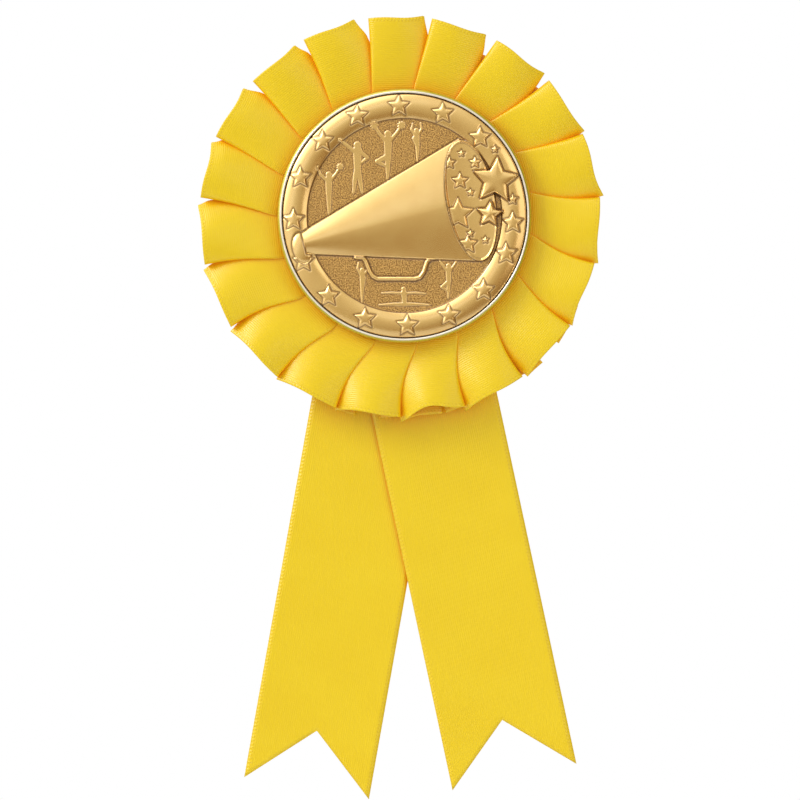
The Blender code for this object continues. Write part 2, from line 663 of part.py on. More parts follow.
def build():
    clear_scene()
    gold = material("gold_relief", (0.72, 0.50, 0.20), 0.32, 1.0)
    holder_plastic = material("holder_plastic", (0.86, 0.83, 0.70), 0.2)
    satin = material("satin_ribbon", (0.86, 0.62, 0.03), 0.42)
    card = material("white_card", (0.86, 0.85, 0.82), 0.85)
    foam = material("white_foam_tape", (0.9, 0.9, 0.88), 0.9)
    glue = material("hot_melt_glue", (0.85, 0.80, 0.62), 0.35)
    thread = material("cotton_thread", (0.85, 0.65, 0.08), 0.8)
    steel = material("nickel_steel", (0.78, 0.78, 0.76), 0.25, 1.0)
    centre = empty("rosette_centre", (0, 0, -PIN_ABOVE_CENTRE))
    holder_centre = empty("holder_centre", (HOLDER_ASIDE[0], 0, HOLDER_ASIDE[1] - PIN_ABOVE_CENTRE))
    ruffle_centre = empty("ruffle_centre", (RUFFLE_ASIDE[0], 0, RUFFLE_ASIDE[1] - PIN_ABOVE_CENTRE))
    make_medal(holder_centre, gold)
    make_holder(holder_centre, holder_plastic, foam, glue)
    make_ruffle(ruffle_centre, satin, thread, glue)
    leg_holes = solid("guide_staple_holes", staple_holes(bmesh.new()), card, centre)
    for side in ("right", "left"):
        make_tail(side, centre, satin, leg_holes)
    make_staple(centre, steel)
    make_cards(centre, card, glue, leg_holes)
    make_bar(steel, foam)
    make_rivet(steel)
    make_stem(steel)
    make_lock_barrel(steel)


build()
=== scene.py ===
"""Award ribbon: the finished look of a pleated satin rosette with a gold relief medal and two tails.

Metres, +Z up. The front faces -Y and a viewer's right is +X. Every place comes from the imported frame.
Angles round the rosette run clockwise from the top, as a viewer at the front sees them.
"""

import json
import math
import random

import bmesh
import bpy
import numpy as np
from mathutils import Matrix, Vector

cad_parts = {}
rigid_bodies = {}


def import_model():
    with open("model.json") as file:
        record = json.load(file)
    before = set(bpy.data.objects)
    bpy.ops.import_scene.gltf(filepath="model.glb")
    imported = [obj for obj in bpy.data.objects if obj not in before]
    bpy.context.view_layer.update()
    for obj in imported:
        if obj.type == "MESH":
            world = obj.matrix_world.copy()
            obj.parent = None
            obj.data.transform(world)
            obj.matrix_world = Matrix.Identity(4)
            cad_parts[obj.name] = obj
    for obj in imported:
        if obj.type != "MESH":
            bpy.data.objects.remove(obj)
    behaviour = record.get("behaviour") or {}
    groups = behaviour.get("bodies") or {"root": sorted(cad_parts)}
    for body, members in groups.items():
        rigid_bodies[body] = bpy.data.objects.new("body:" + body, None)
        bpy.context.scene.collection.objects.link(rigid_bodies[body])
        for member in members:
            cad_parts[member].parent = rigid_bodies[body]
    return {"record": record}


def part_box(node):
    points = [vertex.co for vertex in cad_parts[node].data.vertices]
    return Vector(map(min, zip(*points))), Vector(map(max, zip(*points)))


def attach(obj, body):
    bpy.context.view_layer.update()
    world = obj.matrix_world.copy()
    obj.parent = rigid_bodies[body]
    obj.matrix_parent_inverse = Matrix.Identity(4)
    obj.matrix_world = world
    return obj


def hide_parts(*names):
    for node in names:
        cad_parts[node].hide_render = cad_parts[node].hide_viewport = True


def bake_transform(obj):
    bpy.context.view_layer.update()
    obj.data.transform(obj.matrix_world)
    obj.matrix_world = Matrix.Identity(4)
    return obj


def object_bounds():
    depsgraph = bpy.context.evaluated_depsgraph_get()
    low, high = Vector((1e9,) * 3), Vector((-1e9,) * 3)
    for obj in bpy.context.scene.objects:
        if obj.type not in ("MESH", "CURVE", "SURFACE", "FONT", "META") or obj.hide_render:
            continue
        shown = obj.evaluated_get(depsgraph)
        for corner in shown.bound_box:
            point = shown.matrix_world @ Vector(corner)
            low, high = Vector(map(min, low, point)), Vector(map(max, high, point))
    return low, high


MM = 0.001
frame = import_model()
cad_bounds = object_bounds()

# Places read from the frame.
MEDAL_LOW, MEDAL_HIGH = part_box("medal_insert")
CENTRE = (MEDAL_LOW + MEDAL_HIGH) / 2
MEDAL_RADIUS = (MEDAL_HIGH.x - MEDAL_LOW.x) / 2
MEDAL_BACK = MEDAL_HIGH.y
HOLDER_LOW, HOLDER_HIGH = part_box("insert_holder")
HOLDER_RADIUS = (HOLDER_HIGH.x - HOLDER_LOW.x) / 2
RUFFLE_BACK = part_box("ruffle_ribbon")[1].y
THREAD_LOW, THREAD_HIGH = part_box("ruffle_gathering_thread")
RUFFLE_CENTRE = (THREAD_LOW + THREAD_HIGH) / 2
RUFFLE_INNER = (THREAD_HIGH.x - THREAD_LOW.x) / 2 + 0.3 * MM
CARD_LOW, CARD_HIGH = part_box("base_card")
CARD_CENTRE = (CARD_LOW + CARD_HIGH) / 2

RIBBON_WIDTH = 25.4 * MM
RIB_PITCH = 0.42  # millimetres across the ribbon, from rib to rib
STITCH_PITCH = 0.75  # millimetres along its edges, from stitch to stitch
PAINTED_CREASE_SHADE_REACH = 7 * MM  # painted shade: satin this close to other satin is painted a deeper orange, for the shade in its folds


# Materials. Each has its own function and is made once.


class Nodes:
    """A short way to write a node tree. An input is given a constant or another node's output."""

    def __init__(self, tree):
        self.tree = tree

    def add(self, kind, inputs=None, **settings):
        node = self.tree.nodes.new(f"ShaderNode{kind}")
        for key, value in settings.items():
            setattr(node, key, value)
        for key, value in (inputs or {}).items():
            self.put(node, key, value)
        return node

    def put(self, node, key, value):
        if isinstance(value, bpy.types.NodeSocket):
            self.tree.links.new(value, node.inputs[key])
        else:
            node.inputs[key].default_value = value

    def math(self, operation, a, b=0.0):
        return self.add("Math", {0: a, 1: b}, operation=operation).outputs[0]

    def plus(self, a, b):
        return self.math("ADD", a, b)

    def minus(self, a, b):
        return self.math("SUBTRACT", a, b)

    def times(self, a, b):
        return self.math("MULTIPLY", a, b)

    def wave(self, value, pitch):
        return self.math("SINE", self.times(value, 2 * math.pi / pitch))

    def mix(self, share, a, b):
        node = self.add("Mix", data_type="RGBA")
        self.put(node, 0, share)
        self.put(node, 6, a)
        self.put(node, 7, b)
        return node.outputs[2]

    def smooth(self, value, low, high):
        """0 below low, 1 above high, smooth between."""
        node = self.add("MapRange", {"Value": value, "From Min": low, "From Max": high})
        node.interpolation_type = "SMOOTHSTEP"
        return node.outputs["Result"]

    def object_place(self):
        return self.add("TexCoord").outputs["Object"]

    def stretched(self, place, scale):
        return self.add("Mapping", {"Vector": place, "Scale": scale}).outputs[0]

    def noise(self, place, scale, detail=3.0, roughness=0.5):
        inputs = {"Vector": place, "Scale": scale, "Detail": detail, "Roughness": roughness}
        return self.add("TexNoise", inputs).outputs["Fac"]

    def bump(self, height, distance, strength):
        inputs = {"Height": height, "Distance": distance, "Strength": strength}
        return self.add("Bump", inputs).outputs["Normal"]


class MaterialNodes(Nodes):
    """A new material and its node tree."""

    def __init__(self, name, slot_name):
        self.material = bpy.data.materials.new(name)
        self.material.use_nodes = True
        self.material["slot"] = slot_name
        super().__init__(self.material.node_tree)
        self.shader = self.tree.nodes["Principled BSDF"]

    def set(self, **inputs):
        """Sets the shader's inputs, with _ for each space in their names."""
        for key, value in inputs.items():
            self.put(self.shader, key.replace("_", " "), value)


def colour(red, green, blue):
    return (red, green, blue, 1.0)


def satin_material():
    """Yellow satin ribbon: fine ribs along its length and a stitched, woven edge on both sides.

    Its texture places are in millimetres: along the ribbon, and across it from its middle.
    """
    n = MaterialNodes("yellow_satin", "satin_ribbon")
    place = n.add("UVMap", uv_map="ribbon").outputs["UV"]
    split = n.add("SeparateXYZ", {0: place})
    along, across = split.outputs[0], split.outputs[1]
    from_edge = n.minus(RIBBON_WIDTH / MM / 2, n.math("ABSOLUTE", across))
    stitches = n.wave(along, STITCH_PITCH)
    in_edge = n.minus(1.0, n.smooth(from_edge, 0.62, 0.80))
    past_stitches = n.smooth(from_edge, 0.76, 0.94)
    stitch_line = n.times(n.smooth(from_edge, 0.50, 0.68), n.minus(1.0, past_stitches))
    dots = n.times(stitch_line, n.smooth(stitches, -0.2, 0.7))
    slub = n.noise(n.stretched(place, (0.35, 4.0, 1.0)), 1.4, 4.0, 0.6)
    ribs = n.times(n.wave(across, RIB_PITCH), n.minus(1.0, in_edge))
    ribs = n.times(ribs, n.plus(0.35, slub))
    height = n.plus(n.times(ribs, 0.45), n.times(n.times(stitches, in_edge), 0.6))
    height = n.minus(height, dots)
    cloud = n.noise(n.stretched(place, (1.0, 0.5, 1.0)), 0.12, 2.0, 0.4)
    tone = n.mix(n.smooth(cloud, 0.3, 0.7), colour(0.92, 0.650, 0.005), colour(0.935, 0.670, 0.007))
    tone = n.mix(n.times(dots, 0.35), tone, colour(0.72, 0.42, 0.004))
    tone = n.mix(n.times(n.smooth(slub, 0.55, 0.8), 0.10), tone, colour(0.96, 0.76, 0.04))
    # Painted shade: where other satin is near, in the folds and under the tabs, the colour is pushed
    # towards a deeper orange by the ambient-occlusion share.
    open_sky = n.add("AmbientOcclusion", {"Distance": PAINTED_CREASE_SHADE_REACH}, samples=8).outputs["AO"]
    tone = n.mix(n.smooth(open_sky, 0.30, 0.98), colour(0.95, 0.44, 0.006), tone)
    n.set(Base_Color=tone, Roughness=n.plus(0.27, n.times(slub, 0.08)))
    n.set(Normal=n.bump(height, 0.05 * MM, 0.7), Specular_IOR_Level=0.5)
    n.set(Sheen_Weight=0.06, Sheen_Roughness=0.35, Sheen_Tint=colour(1.0, 0.80, 0.20))
    return n.material


def gold_material():
    """Antique gold plate: bright on what stands proud, brown in the grooves, pebbled on the field."""
    n = MaterialNodes("antique_gold", "gold_relief")
    place = n.object_place()
    patina_and_shade = n.add("Attribute", attribute_name="patina_and_shade").outputs["Fac"]
    field = n.add("Attribute", attribute_name="field").outputs["Fac"]
    pebble = n.noise(place, 4200.0, 4.0, 0.7)
    mottle = n.noise(place, 260.0, 2.0, 0.5)
    bright = n.mix(n.smooth(mottle, 0.3, 0.7), colour(0.84, 0.545, 0.175), colour(0.87, 0.585, 0.200))
    dull = n.mix(n.smooth(pebble, 0.36, 0.62), colour(0.16, 0.062, 0.008), colour(0.72, 0.43, 0.11))
    tone = n.mix(field, bright, dull)
    # The dark share is brown patina in the hollows round shapes, and inside the megaphone's bell it is
    # also a painted shadow line.
    tone = n.mix(n.times(patina_and_shade, 0.85), tone, colour(0.17, 0.07, 0.012))
    roughness = n.plus(n.plus(0.25, n.times(field, 0.2)), n.times(patina_and_shade, 0.2))
    height = n.times(pebble, n.plus(0.02, field))
    n.set(Base_Color=tone, Metallic=1.0, Roughness=roughness, Normal=n.bump(height, 0.22 * MM, 0.5))
    n.set(Coat_Weight=1.0, Coat_Roughness=0.16, Coat_IOR=1.7)
    return n.material


def holder_material():
    """The holder's plastic: a polished lip painted pale cream for the bright highlight ring round the
    medal, and a skirt painted olive-yellow for the satin seen through it.
    """
    n = MaterialNodes("clear_yellow_plastic", "holder_plastic")
    place = n.object_place()
    split = n.add("SeparateXYZ", {0: place})
    dx = n.minus(split.outputs[0], CENTRE.x)
    dz = n.minus(split.outputs[2], CENTRE.z)
    radius = n.math("SQRT", n.plus(n.times(dx, dx), n.times(dz, dz)))
    on_skirt = n.smooth(radius, MEDAL_RADIUS + 0.54 * MM, MEDAL_RADIUS + 0.70 * MM)
    scuffs = n.noise(place, 900.0, 4.0, 0.6)
    # Painted highlight: the clear lip is coloured pale cream to read as a bright ring. Painted
    # see-through colour: the clear skirt is coloured olive-yellow for the satin behind it.
    lip = n.mix(scuffs, colour(0.92, 0.86, 0.72), colour(0.98, 0.94, 0.84))
    skirt = n.mix(scuffs, colour(0.52, 0.42, 0.02), colour(0.62, 0.52, 0.03))
    n.set(Base_Color=n.mix(on_skirt, lip, skirt), Roughness=n.plus(0.08, n.times(scuffs, 0.1)))
    n.set(Metallic=0.4, Coat_Weight=0.6, Coat_Roughness=0.05, Normal=n.bump(scuffs, 0.02 * MM, 0.3))
    return n.material


def card_material():
    """White pulp board with short fibres and a soft mottled tone."""
    n = MaterialNodes("white_board", "card")
    place = n.object_place()
    fibres = n.noise(n.stretched(place, (1.0, 1.0, 3.0)), 2200.0, 5.0, 0.7)
    mottle = n.noise(place, 160.0, 3.0, 0.5)
    tone = n.mix(n.smooth(mottle, 0.3, 0.7), colour(0.79, 0.775, 0.73), colour(0.83, 0.815, 0.775))
    tone = n.mix(n.times(n.smooth(fibres, 0.55, 0.75), 0.4), tone, colour(0.60, 0.55, 0.46))
    n.set(Base_Color=tone, Roughness=n.plus(0.78, n.times(fibres, 0.15)))
    n.set(Normal=n.bump(fibres, 0.08 * MM, 0.5))
    return n.material


def foam_material():
    """White foam with small open cells."""
    n = MaterialNodes("white_foam", "foam_tape")
    cells = n.add("TexVoronoi", {"Vector": n.object_place(), "Scale": 2600.0}).outputs["Distance"]
    tone = n.mix(cells, colour(0.66, 0.65, 0.62), colour(0.86, 0.86, 0.84))
    n.set(Base_Color=tone, Roughness=n.plus(0.8, n.times(cells, 0.15)))
    n.set(Normal=n.bump(cells, 0.15 * MM, 0.7))
    return n.material


def glue_material():
    """Milky hot-melt glue, glossy and rippled."""
    n = MaterialNodes("milky_glue", "hot_melt_glue")
    ripple = n.noise(n.object_place(), 420.0, 2.0, 0.4)
    tone = n.mix(ripple, colour(0.72, 0.66, 0.50), colour(0.86, 0.82, 0.70))
    n.set(Base_Color=tone, Roughness=n.plus(0.22, n.times(ripple, 0.2)))
    n.set(Subsurface_Weight=0.2, Normal=n.bump(ripple, 0.3 * MM, 0.4))
    return n.material


def thread_material():
    """Yellow twisted thread."""
    n = MaterialNodes("twisted_thread", "thread")
    inputs = {"Vector": n.object_place(), "Scale": 900.0, "Distortion": 1.5}
    twist = n.add("TexWave", inputs, bands_direction="DIAGONAL").outputs["Fac"]
    tone = n.mix(twist, colour(0.62, 0.42, 0.02), colour(0.85, 0.64, 0.08))
    n.set(Base_Color=tone, Roughness=0.8, Normal=n.bump(twist, 0.08 * MM, 0.6))
    return n.material


def steel_material():
    """Nickel-plated steel with faint drawn lines and small dull marks."""
    n = MaterialNodes("nickel_plate", "plated_steel")
    place = n.object_place()
    drawn_lines = n.noise(n.stretched(place, (0.08, 1.0, 1.0)), 5200.0, 3.0, 0.6)
    marks = n.noise(place, 700.0, 4.0, 0.6)
    tone = n.mix(n.smooth(marks, 0.45, 0.75), colour(0.76, 0.80, 0.86), colour(0.56, 0.58, 0.60))
    n.set(Base_Color=tone, Metallic=1.0, Roughness=n.plus(0.14, n.times(marks, 0.22)))
    n.set(Normal=n.bump(drawn_lines, 0.02 * MM, 0.35))
    return n.material


def floor_material():
    """Pale grey, faintly clouded."""
    n = MaterialNodes("pale_floor", "card")
    grain = n.noise(n.object_place(), 40.0)
    n.set(Base_Color=n.mix(grain, colour(0.84, 0.84, 0.84), colour(0.90, 0.90, 0.90)), Roughness=0.9)
    return n.material


# Mesh helpers.


def mesh_piece(name, points, faces, material):
    """A new smooth-shaded object from points and faces."""
    mesh = bpy.data.meshes.new(name)
    mesh.from_pydata([tuple(p) for p in points], [], faces)
    mesh.materials.append(material)
    mesh.shade_smooth()
    piece = bpy.data.objects.new(name, mesh)
    bpy.context.collection.objects.link(piece)
    return piece


def grid_faces(rows, columns, closed):
    """Quads over a grid of rows of columns, whose last column meets the first if it is closed."""
    faces = []
    for i in range(rows - 1):
        for j in range(columns if closed else columns - 1):
            k = (j + 1) % columns
            here, above = i * columns, (i + 1) * columns
            faces.append((here + j, here + k, above + k, above + j))
    return faces


def face_uvs(mesh, name, values):
    """Writes one UV pair per face corner."""
    layer = mesh.uv_layers.new(name=name)
    layer.data.foreach_set("uv", np.asarray(values, dtype=np.float32).ravel())


def within(value, low=0.0, high=1.0):
    """The value, kept between low and high."""
    return min(max(value, low), high)


def thicken(sheet, thickness):
    """Gives a sheet a thickness, half to each side."""
    thick = sheet.modifiers.new("thick", "SOLIDIFY")
    thick.thickness = thickness
    thick.offset = 0


def ease(value):
    """0 below 0 and 1 above 1, smooth between."""
    value = within(value)
    return value * value * (3 - 2 * value)


# The ruffle. It is one ribbon, folded into flat tabs that lie over each other like the blades of a fan.

PLEATS = 19
FIRST_AXIS = math.radians(-1.0)
PITCH = 2 * math.pi / PLEATS
TAB_REACH = 39.8 * MM
TAB_LENGTH = TAB_REACH - HOLDER_RADIUS  # as far as it shows past the holder
RIBBON_PER_PLEAT = 29.3 * MM
RIBBON_THICKNESS = 0.22 * MM
ROWS = 34  # points across the ribbon
STITCHED_LEVEL = 0.12 * MM
LEAN_PIVOT = 33 * MM  # how far out the point is that a leaning tab turns about
WIDEST_NOTCH = math.radians(-25)  # the notches between tabs open most here
TUCKED_TURN = math.radians(150)  # round here the layer under a tab shows past its edge
CHANCE_SEED = 19
GAPING_TAB = 9  # this one, at the foot, hangs open
GAPING_MOUTH, GAPING_SPARE = 1.5 * MM, 4.6 * MM


class Tab:
    """One tab: the place of its axis, and its own small differences from the others.

    It has a width, a lean, a bow and a reach. Its outer edge slants, and a notch opens between it and the
    next tab. Its front is rolled at the left, lifted and puffed, and the layer under it is tucked back.
    """

    def __init__(self, index, chance):
        self.turn = FIRST_AXIS + PITCH * index + math.radians(chance.uniform(-0.5, 0.7))
        low = -math.cos(self.turn)  # 1 at the ruffle's foot and -1 at its top
        opening = ease((math.cos(self.turn - WIDEST_NOTCH) + 0.45) / 1.45)
        self.lean = math.radians(0.6 + 3.4 * low + chance.uniform(-0.7, 0.7))
        self.bow = (0.55 + 0.45 * low + chance.uniform(-0.2, 0.2)) * MM
        self.reach = TAB_REACH + chance.uniform(-0.2, 0.3) * MM
        gap = (0.25 + 2.15 * opening * chance.uniform(0.85, 1.1)) * MM
        self.half = (PITCH * (TAB_REACH + 0.6 * MM) - gap) / 2
        self.notch = (0.5 + 2.7 * opening * chance.uniform(0.85, 1.15)) * MM
        leftward = within(0.5 - 0.6 * math.sin(self.turn))
        self.flare = max(PITCH * (self.reach - self.notch) - 2 * self.half, 0.0) * leftward
        self.slant = chance.uniform(0.3, 0.9) * MM
        self.roll = chance.uniform(0.85, 1.2)
        self.lift = chance.uniform(-0.2, 0.35) * MM
        self.puff = chance.uniform(0.8, 1.2) * (1.15 + 0.35 * low)
        self.tucked = self.tuck_of_layer_under(chance)
        self.mouth = GAPING_MOUTH if index == GAPING_TAB else 0.0
        self.spare = GAPING_SPARE if index == GAPING_TAB else 0.0

    def tuck_of_layer_under(self, chance):
        """How far the edge of the layer under the tab stays behind the tab's own edge."""
        if math.cos(self.turn - TUCKED_TURN) < 0.55:
            tucked = self.notch + 0.5 * MM
        else:
            tucked = chance.uniform(-0.9, -0.3) * MM
        if chance.random() < 0.2:
            tucked = self.notch - 0.4 * MM
        return tucked

    def place(self, across, out, height):
        """A point in the world: across the tab (clockwise), out along it and forward of its back."""
        share = within((out - HOLDER_RADIUS) / TAB_LENGTH)
        side = across + self.bow * math.sin(math.pi * share)
        side += (out - LEAN_PIVOT) * math.tan(self.lean)
        x = out * math.sin(self.turn) + side * math.cos(self.turn)
        z = out * math.cos(self.turn) - side * math.sin(self.turn)
        return Vector((RUFFLE_CENTRE.x + x, RUFFLE_BACK - height, RUFFLE_CENTRE.z + z))

    def edge(self, across, under=0.0):
        """How far out the ribbon's outer edge is, at a place across it and a share of the way under."""
        side = across / self.half
        curve = self.slant * (side / 2 - 0.35 * math.sin(math.pi * side) * (1 - under))
        mouth = self.mouth * math.cos(math.pi / 2 * within(side, -1.0)) ** 2 * (1 - under)
        return self.reach + curve + 0.2 * MM * side * side - mouth - self.tucked * under

    def right_half(self, out):
        """Half the tab's width on its clockwise side, which curls in towards its outer corner."""
        share = within((self.reach - out) / self.notch)
        return self.half + self.flare * share**1.4


def out_at(share, edge):
    """How far out a place is, at a share of the way from the ruffle's inner edge to its outer one."""
    return RUFFLE_INNER + (edge - RUFFLE_INNER) * share


def fold_levels(tab, share):
    """The levels of a tab's left and right folds, the left one's radius, and how far it has opened."""
    past_holder = out_at(share, tab.reach) - HOLDER_RADIUS
    opened = ease(past_holder / TAB_LENGTH)
    rise = math.sqrt(within((past_holder + 2 * MM) / TAB_LENGTH))
    roll = (0.28 + 0.75 * opened) * MM * tab.roll
    left = (1.25 + 1.65 * rise) * MM + tab.lift * opened
    right = (0.62 + 0.20 * opened) * MM
    return left, right, roll, opened


TUCK = 0.2 * MM  # the radius of the sharp fold on a tab's clockwise side
ABOVE_BACK = 0.45 * MM  # the level of the layer that goes under, at its far end
BEND = 0.12 * MM  # how far the ribbon runs on where it turns back on itself
FRONT_STEPS = 14


def pleat_points(tab, following, share):
    """One pleat's path along the ribbon, at a share of its width from the inner edge.

    It goes round the tab's left fold, over its front, round its right fold, back under it, along the
    stitched back, and then out under the following tab.
    """
    left, right, roll, opened = fold_levels(tab, share)
    reach = out_at(share, tab.reach)
    depth = (RIBBON_PER_PLEAT - PITCH * reach) / 4
    half_right = tab.right_half(reach)
    points = []

    def put(owner, across, height, under=0.0):
        points.append(owner.place(across, out_at(share, owner.edge(across, under)), height))

    start = -tab.half + roll
    for degrees in (-90, -130, -165, 165, 130, 100):
        turn = math.radians(degrees)
        put(tab, start + roll * math.cos(turn), left - roll + roll * math.sin(turn))
    for i in range(1, FRONT_STEPS + 1):
        t = i / FRONT_STEPS
        across = start + (half_right - TUCK - start) * t
        crown = (0.2 + 1.25 * opened) * MM * tab.puff * math.sin(math.pi * t) ** 0.85
        put(tab, across, right + TUCK + (left - right - TUCK) * (1 - t) ** 1.1 + crown)
    for degrees in (45, 0, -45):
        turn = math.radians(degrees)
        put(tab, half_right - TUCK + TUCK * math.cos(turn), right + TUCK * math.sin(turn), 0.04)

    back = depth + tab.spare
    for t in (0.15, 0.5, 0.9):
        across = half_right - TUCK - (back - TUCK) * t
        put(tab, across, right - TUCK - (right - TUCK - ABOVE_BACK) * t, t)
    put(tab, half_right - back - BEND, (ABOVE_BACK + STITCHED_LEVEL) / 2, 1.0)
    far = depth - following.half
    first = tab.place(half_right - back, out_at(share, tab.edge(0, 1.0)), STITCHED_LEVEL)
    second = following.place(far, out_at(share, following.edge(0, 1.0)), STITCHED_LEVEL)
    for t in (0.05, 0.35, 0.65, 0.95):
        points.append(first.lerp(second, t))

    next_left, _, next_roll, _ = fold_levels(following, share)
    rise = max(next_left - 2 * next_roll - ABOVE_BACK, 0.0)
    put(following, far + BEND, STITCHED_LEVEL + 0.2 * MM, 1.0)
    for t in (0.15, 0.5, 0.85):
        put(following, far - (depth - next_roll) * t, ABOVE_BACK + rise * t * t, 1 - t)
    return points


def lengths_along(row):
    """How far along the ribbon each point of a closed row is, and the whole length last."""
    along = [0.0]
    for i, point in enumerate(row):
        along.append(along[-1] + (row[(i + 1) % len(row)] - point).length)
    return along


def make_ruffle(satin):
    """The pleated ribbon, as a closed strip of rows from its gathered edge to its outer one."""
    chance = random.Random(CHANCE_SEED)
    tabs = [Tab(i, chance) for i in range(PLEATS)]
    shares = [(i / (ROWS - 1)) ** 0.8 for i in range(ROWS)]
    rows = []
    for share in shares:
        row = []
        for tab, following in zip(tabs, tabs[1:] + tabs[:1]):
            row += pleat_points(tab, following, share)
        rows.append(row)
    columns = len(rows[0])
    points = [point for row in rows for point in row]
    ruffle = mesh_piece("satin_ruffle", points, grid_faces(ROWS, columns, closed=True), satin)
    along = lengths_along(rows[ROWS * 3 // 4])
    uvs = []
    for i in range(ROWS - 1):
        for j in range(columns):
            for r, c in ((i, j), (i, j + 1), (i + 1, j + 1), (i + 1, j)):
                uvs.append((along[c] / MM, (shares[r] - 0.5) * RIBBON_WIDTH / MM))
    face_uvs(ruffle.data, "ribbon", uvs)
    smooth = ruffle.modifiers.new("smooth", "SUBSURF")
    smooth.levels = smooth.render_levels = 1
    thicken(ruffle, RIBBON_THICKNESS)
    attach(ruffle, "rosette")
    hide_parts("ruffle_ribbon")


# The holder: a shallow dish of clear plastic whose polished lip shows as a ring round the medal.


LIP = 0.21 * MM  # the radius of the rounded lip
LIP_RADIUS = MEDAL_RADIUS + 0.43 * MM
HOLDER_FLOOR = 0.6 * MM
HOLDER_SPOKES = 256


def holder_profile():
    """(radius, level) points from the middle of the back, round the lip, to the middle of the floor."""
    front = HOLDER_HIGH.y - HOLDER_LOW.y
    inner = LIP_RADIUS - LIP
    profile = [
        (0.0, 0.0),
        (HOLDER_RADIUS - 0.2 * MM, 0.0),
        (HOLDER_RADIUS, 0.2 * MM),
        (HOLDER_RADIUS, front * 0.55),
        (HOLDER_RADIUS - 0.08 * MM, front * 0.72),
        (LIP_RADIUS + 0.36 * MM, front - LIP * 1.15),
    ]
    for degrees in range(-10, 200, 20):
        turn = math.radians(degrees)
        profile.append((LIP_RADIUS + LIP * math.cos(turn), front - LIP + LIP * math.sin(turn)))
    profile += [
        (inner, front - 2.2 * LIP),
        (inner, HOLDER_FLOOR + 0.1 * MM),
        (inner - 0.1 * MM, HOLDER_FLOOR),
        (0.0, HOLDER_FLOOR),
    ]
    return profile


def make_holder(plastic):
    profile = holder_profile()
    points = []
    for radius, level in profile:
        reach = max(radius, 1e-6)
        for j in range(HOLDER_SPOKES):
            turn = 2 * math.pi * j / HOLDER_SPOKES
            x, z = reach * math.sin(turn), reach * math.cos(turn)
            points.append((CENTRE.x + x, HOLDER_HIGH.y - level, CENTRE.z + z))
    faces = grid_faces(len(profile), HOLDER_SPOKES, closed=True)
    holder = mesh_piece("clear_holder", points, faces, plastic)
    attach(holder, "rosette")
    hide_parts("insert_holder")


# The tails.

TAIL_TILT = {"left": math.radians(10.1), "right": math.radians(12.1)}
TAIL_NOTCH_DEPTH = 11.7 * MM
TAIL_THICKNESS = 0.28 * MM
TAIL_ROWS, TAIL_COLUMNS = 97, 25
TAIL_STIFF_SHARE = 0.3  # the cards hold this share of its length flat
WAVE_RADIAN = 17 * MM  # the soft waves down a tail run on by one radian in this length
WAVE_START = 1.3  # radians, one way on the right tail and the other on the left
WAVE_RISE = 0.24 * MM
TWIST = 0.176 * MM
CUP = 0.35 * MM


def tail_billow(reach, length, side_share, hand):
    """How far forward a hanging tail lies, from its waves, a slight twist and the cup across it."""
    free = ease((reach - TAIL_STIFF_SHARE * length) / ((1 - TAIL_STIFF_SHARE) * length))
    wave = math.sin(reach / WAVE_RADIAN + WAVE_START * hand) * WAVE_RISE
    return free * (wave + side_share * TWIST * hand + CUP * side_share**2)


def make_tail(side, satin):
    """One ribbon from under the cards to its swallow-tail end, held flat near the cards and softly waved
    below.
    """
    upper_low, upper_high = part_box(f"tail_{side}_upper_end")
    lower_low, lower_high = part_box(f"tail_{side}")
    hand = 1 if side == "right" else -1
    tilt = TAIL_TILT[side]
    half = RIBBON_WIDTH / 2
    depth = (upper_low.y + upper_high.y) / 2
    outer_tip = lower_high.x if side == "right" else lower_low.x
    tip_level = lower_low.z + half * math.sin(tilt)
    middle_x = outer_tip - hand * half * math.cos(tilt)
    length = (upper_high.z - half * math.sin(tilt) - tip_level) / math.cos(tilt)
    points, uvs_of = [], []
    for i in range(TAIL_ROWS):
        for j in range(TAIL_COLUMNS):
            side_share = 2 * j / (TAIL_COLUMNS - 1) - 1
            across = half * side_share
            notch = TAIL_NOTCH_DEPTH * (1 - abs(side_share))
            reach = (length - notch) * (i / (TAIL_ROWS - 1))
            above = length - reach
            x = middle_x - hand * math.sin(tilt) * above + math.cos(tilt) * across
            z = tip_level + math.cos(tilt) * above + hand * math.sin(tilt) * across
            points.append((x, depth - tail_billow(reach, length, side_share, hand), z))
            uvs_of.append((reach / MM, across / MM))
    faces = grid_faces(TAIL_ROWS, TAIL_COLUMNS, closed=False)
    tail = mesh_piece(f"satin_tail_{side}", points, faces, satin)
    face_uvs(tail.data, "ribbon", [uvs_of[v] for face in faces for v in face])
    thicken(tail, TAIL_THICKNESS)
    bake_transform(tail)
    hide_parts(f"tail_{side}_upper_end", f"tail_{side}")


# The medal. Its face is a relief of heights over a disc, worked out in millimetres from its middle.

MEDAL_EDGE = MEDAL_RADIUS / MM
FACE_LEVEL = (MEDAL_BACK - MEDAL_LOW.y) / MM
FIELD_LEVEL = 1.0
FIELD_RADIUS = 19.4
BAND_MIDDLE = 21.75
BAND_HALF = 2.45
BAND_LEVEL = 1.30
BAND_CROWN = 0.55
BORDER_STARS = 16
BORDER_START = math.radians(-2.2)
BORDER_RADIUS = 21.9
BORDER_STAR = 2.25
BURST_PLACE = 3
BURST_CREEP = math.radians(0.9)  # each star before the burst is this much nearer to it
BURST_ROOM = math.radians(6)  # the star after the burst stands this much further on
PICTURE_ASIDE = -0.4  # the athletes and megaphone stand a little left of the middle
BORDER_ASIDE = -0.25  # and so does the ring of border stars
MEDAL_RINGS = 210
MEDAL_SPOKES = 900


def step(value, low, high):
    """0 at low and 1 at high, smooth between, over an array."""
    share = np.clip((value - low) / (high - low), 0, 1)
    return share * share * (3 - 2 * share)


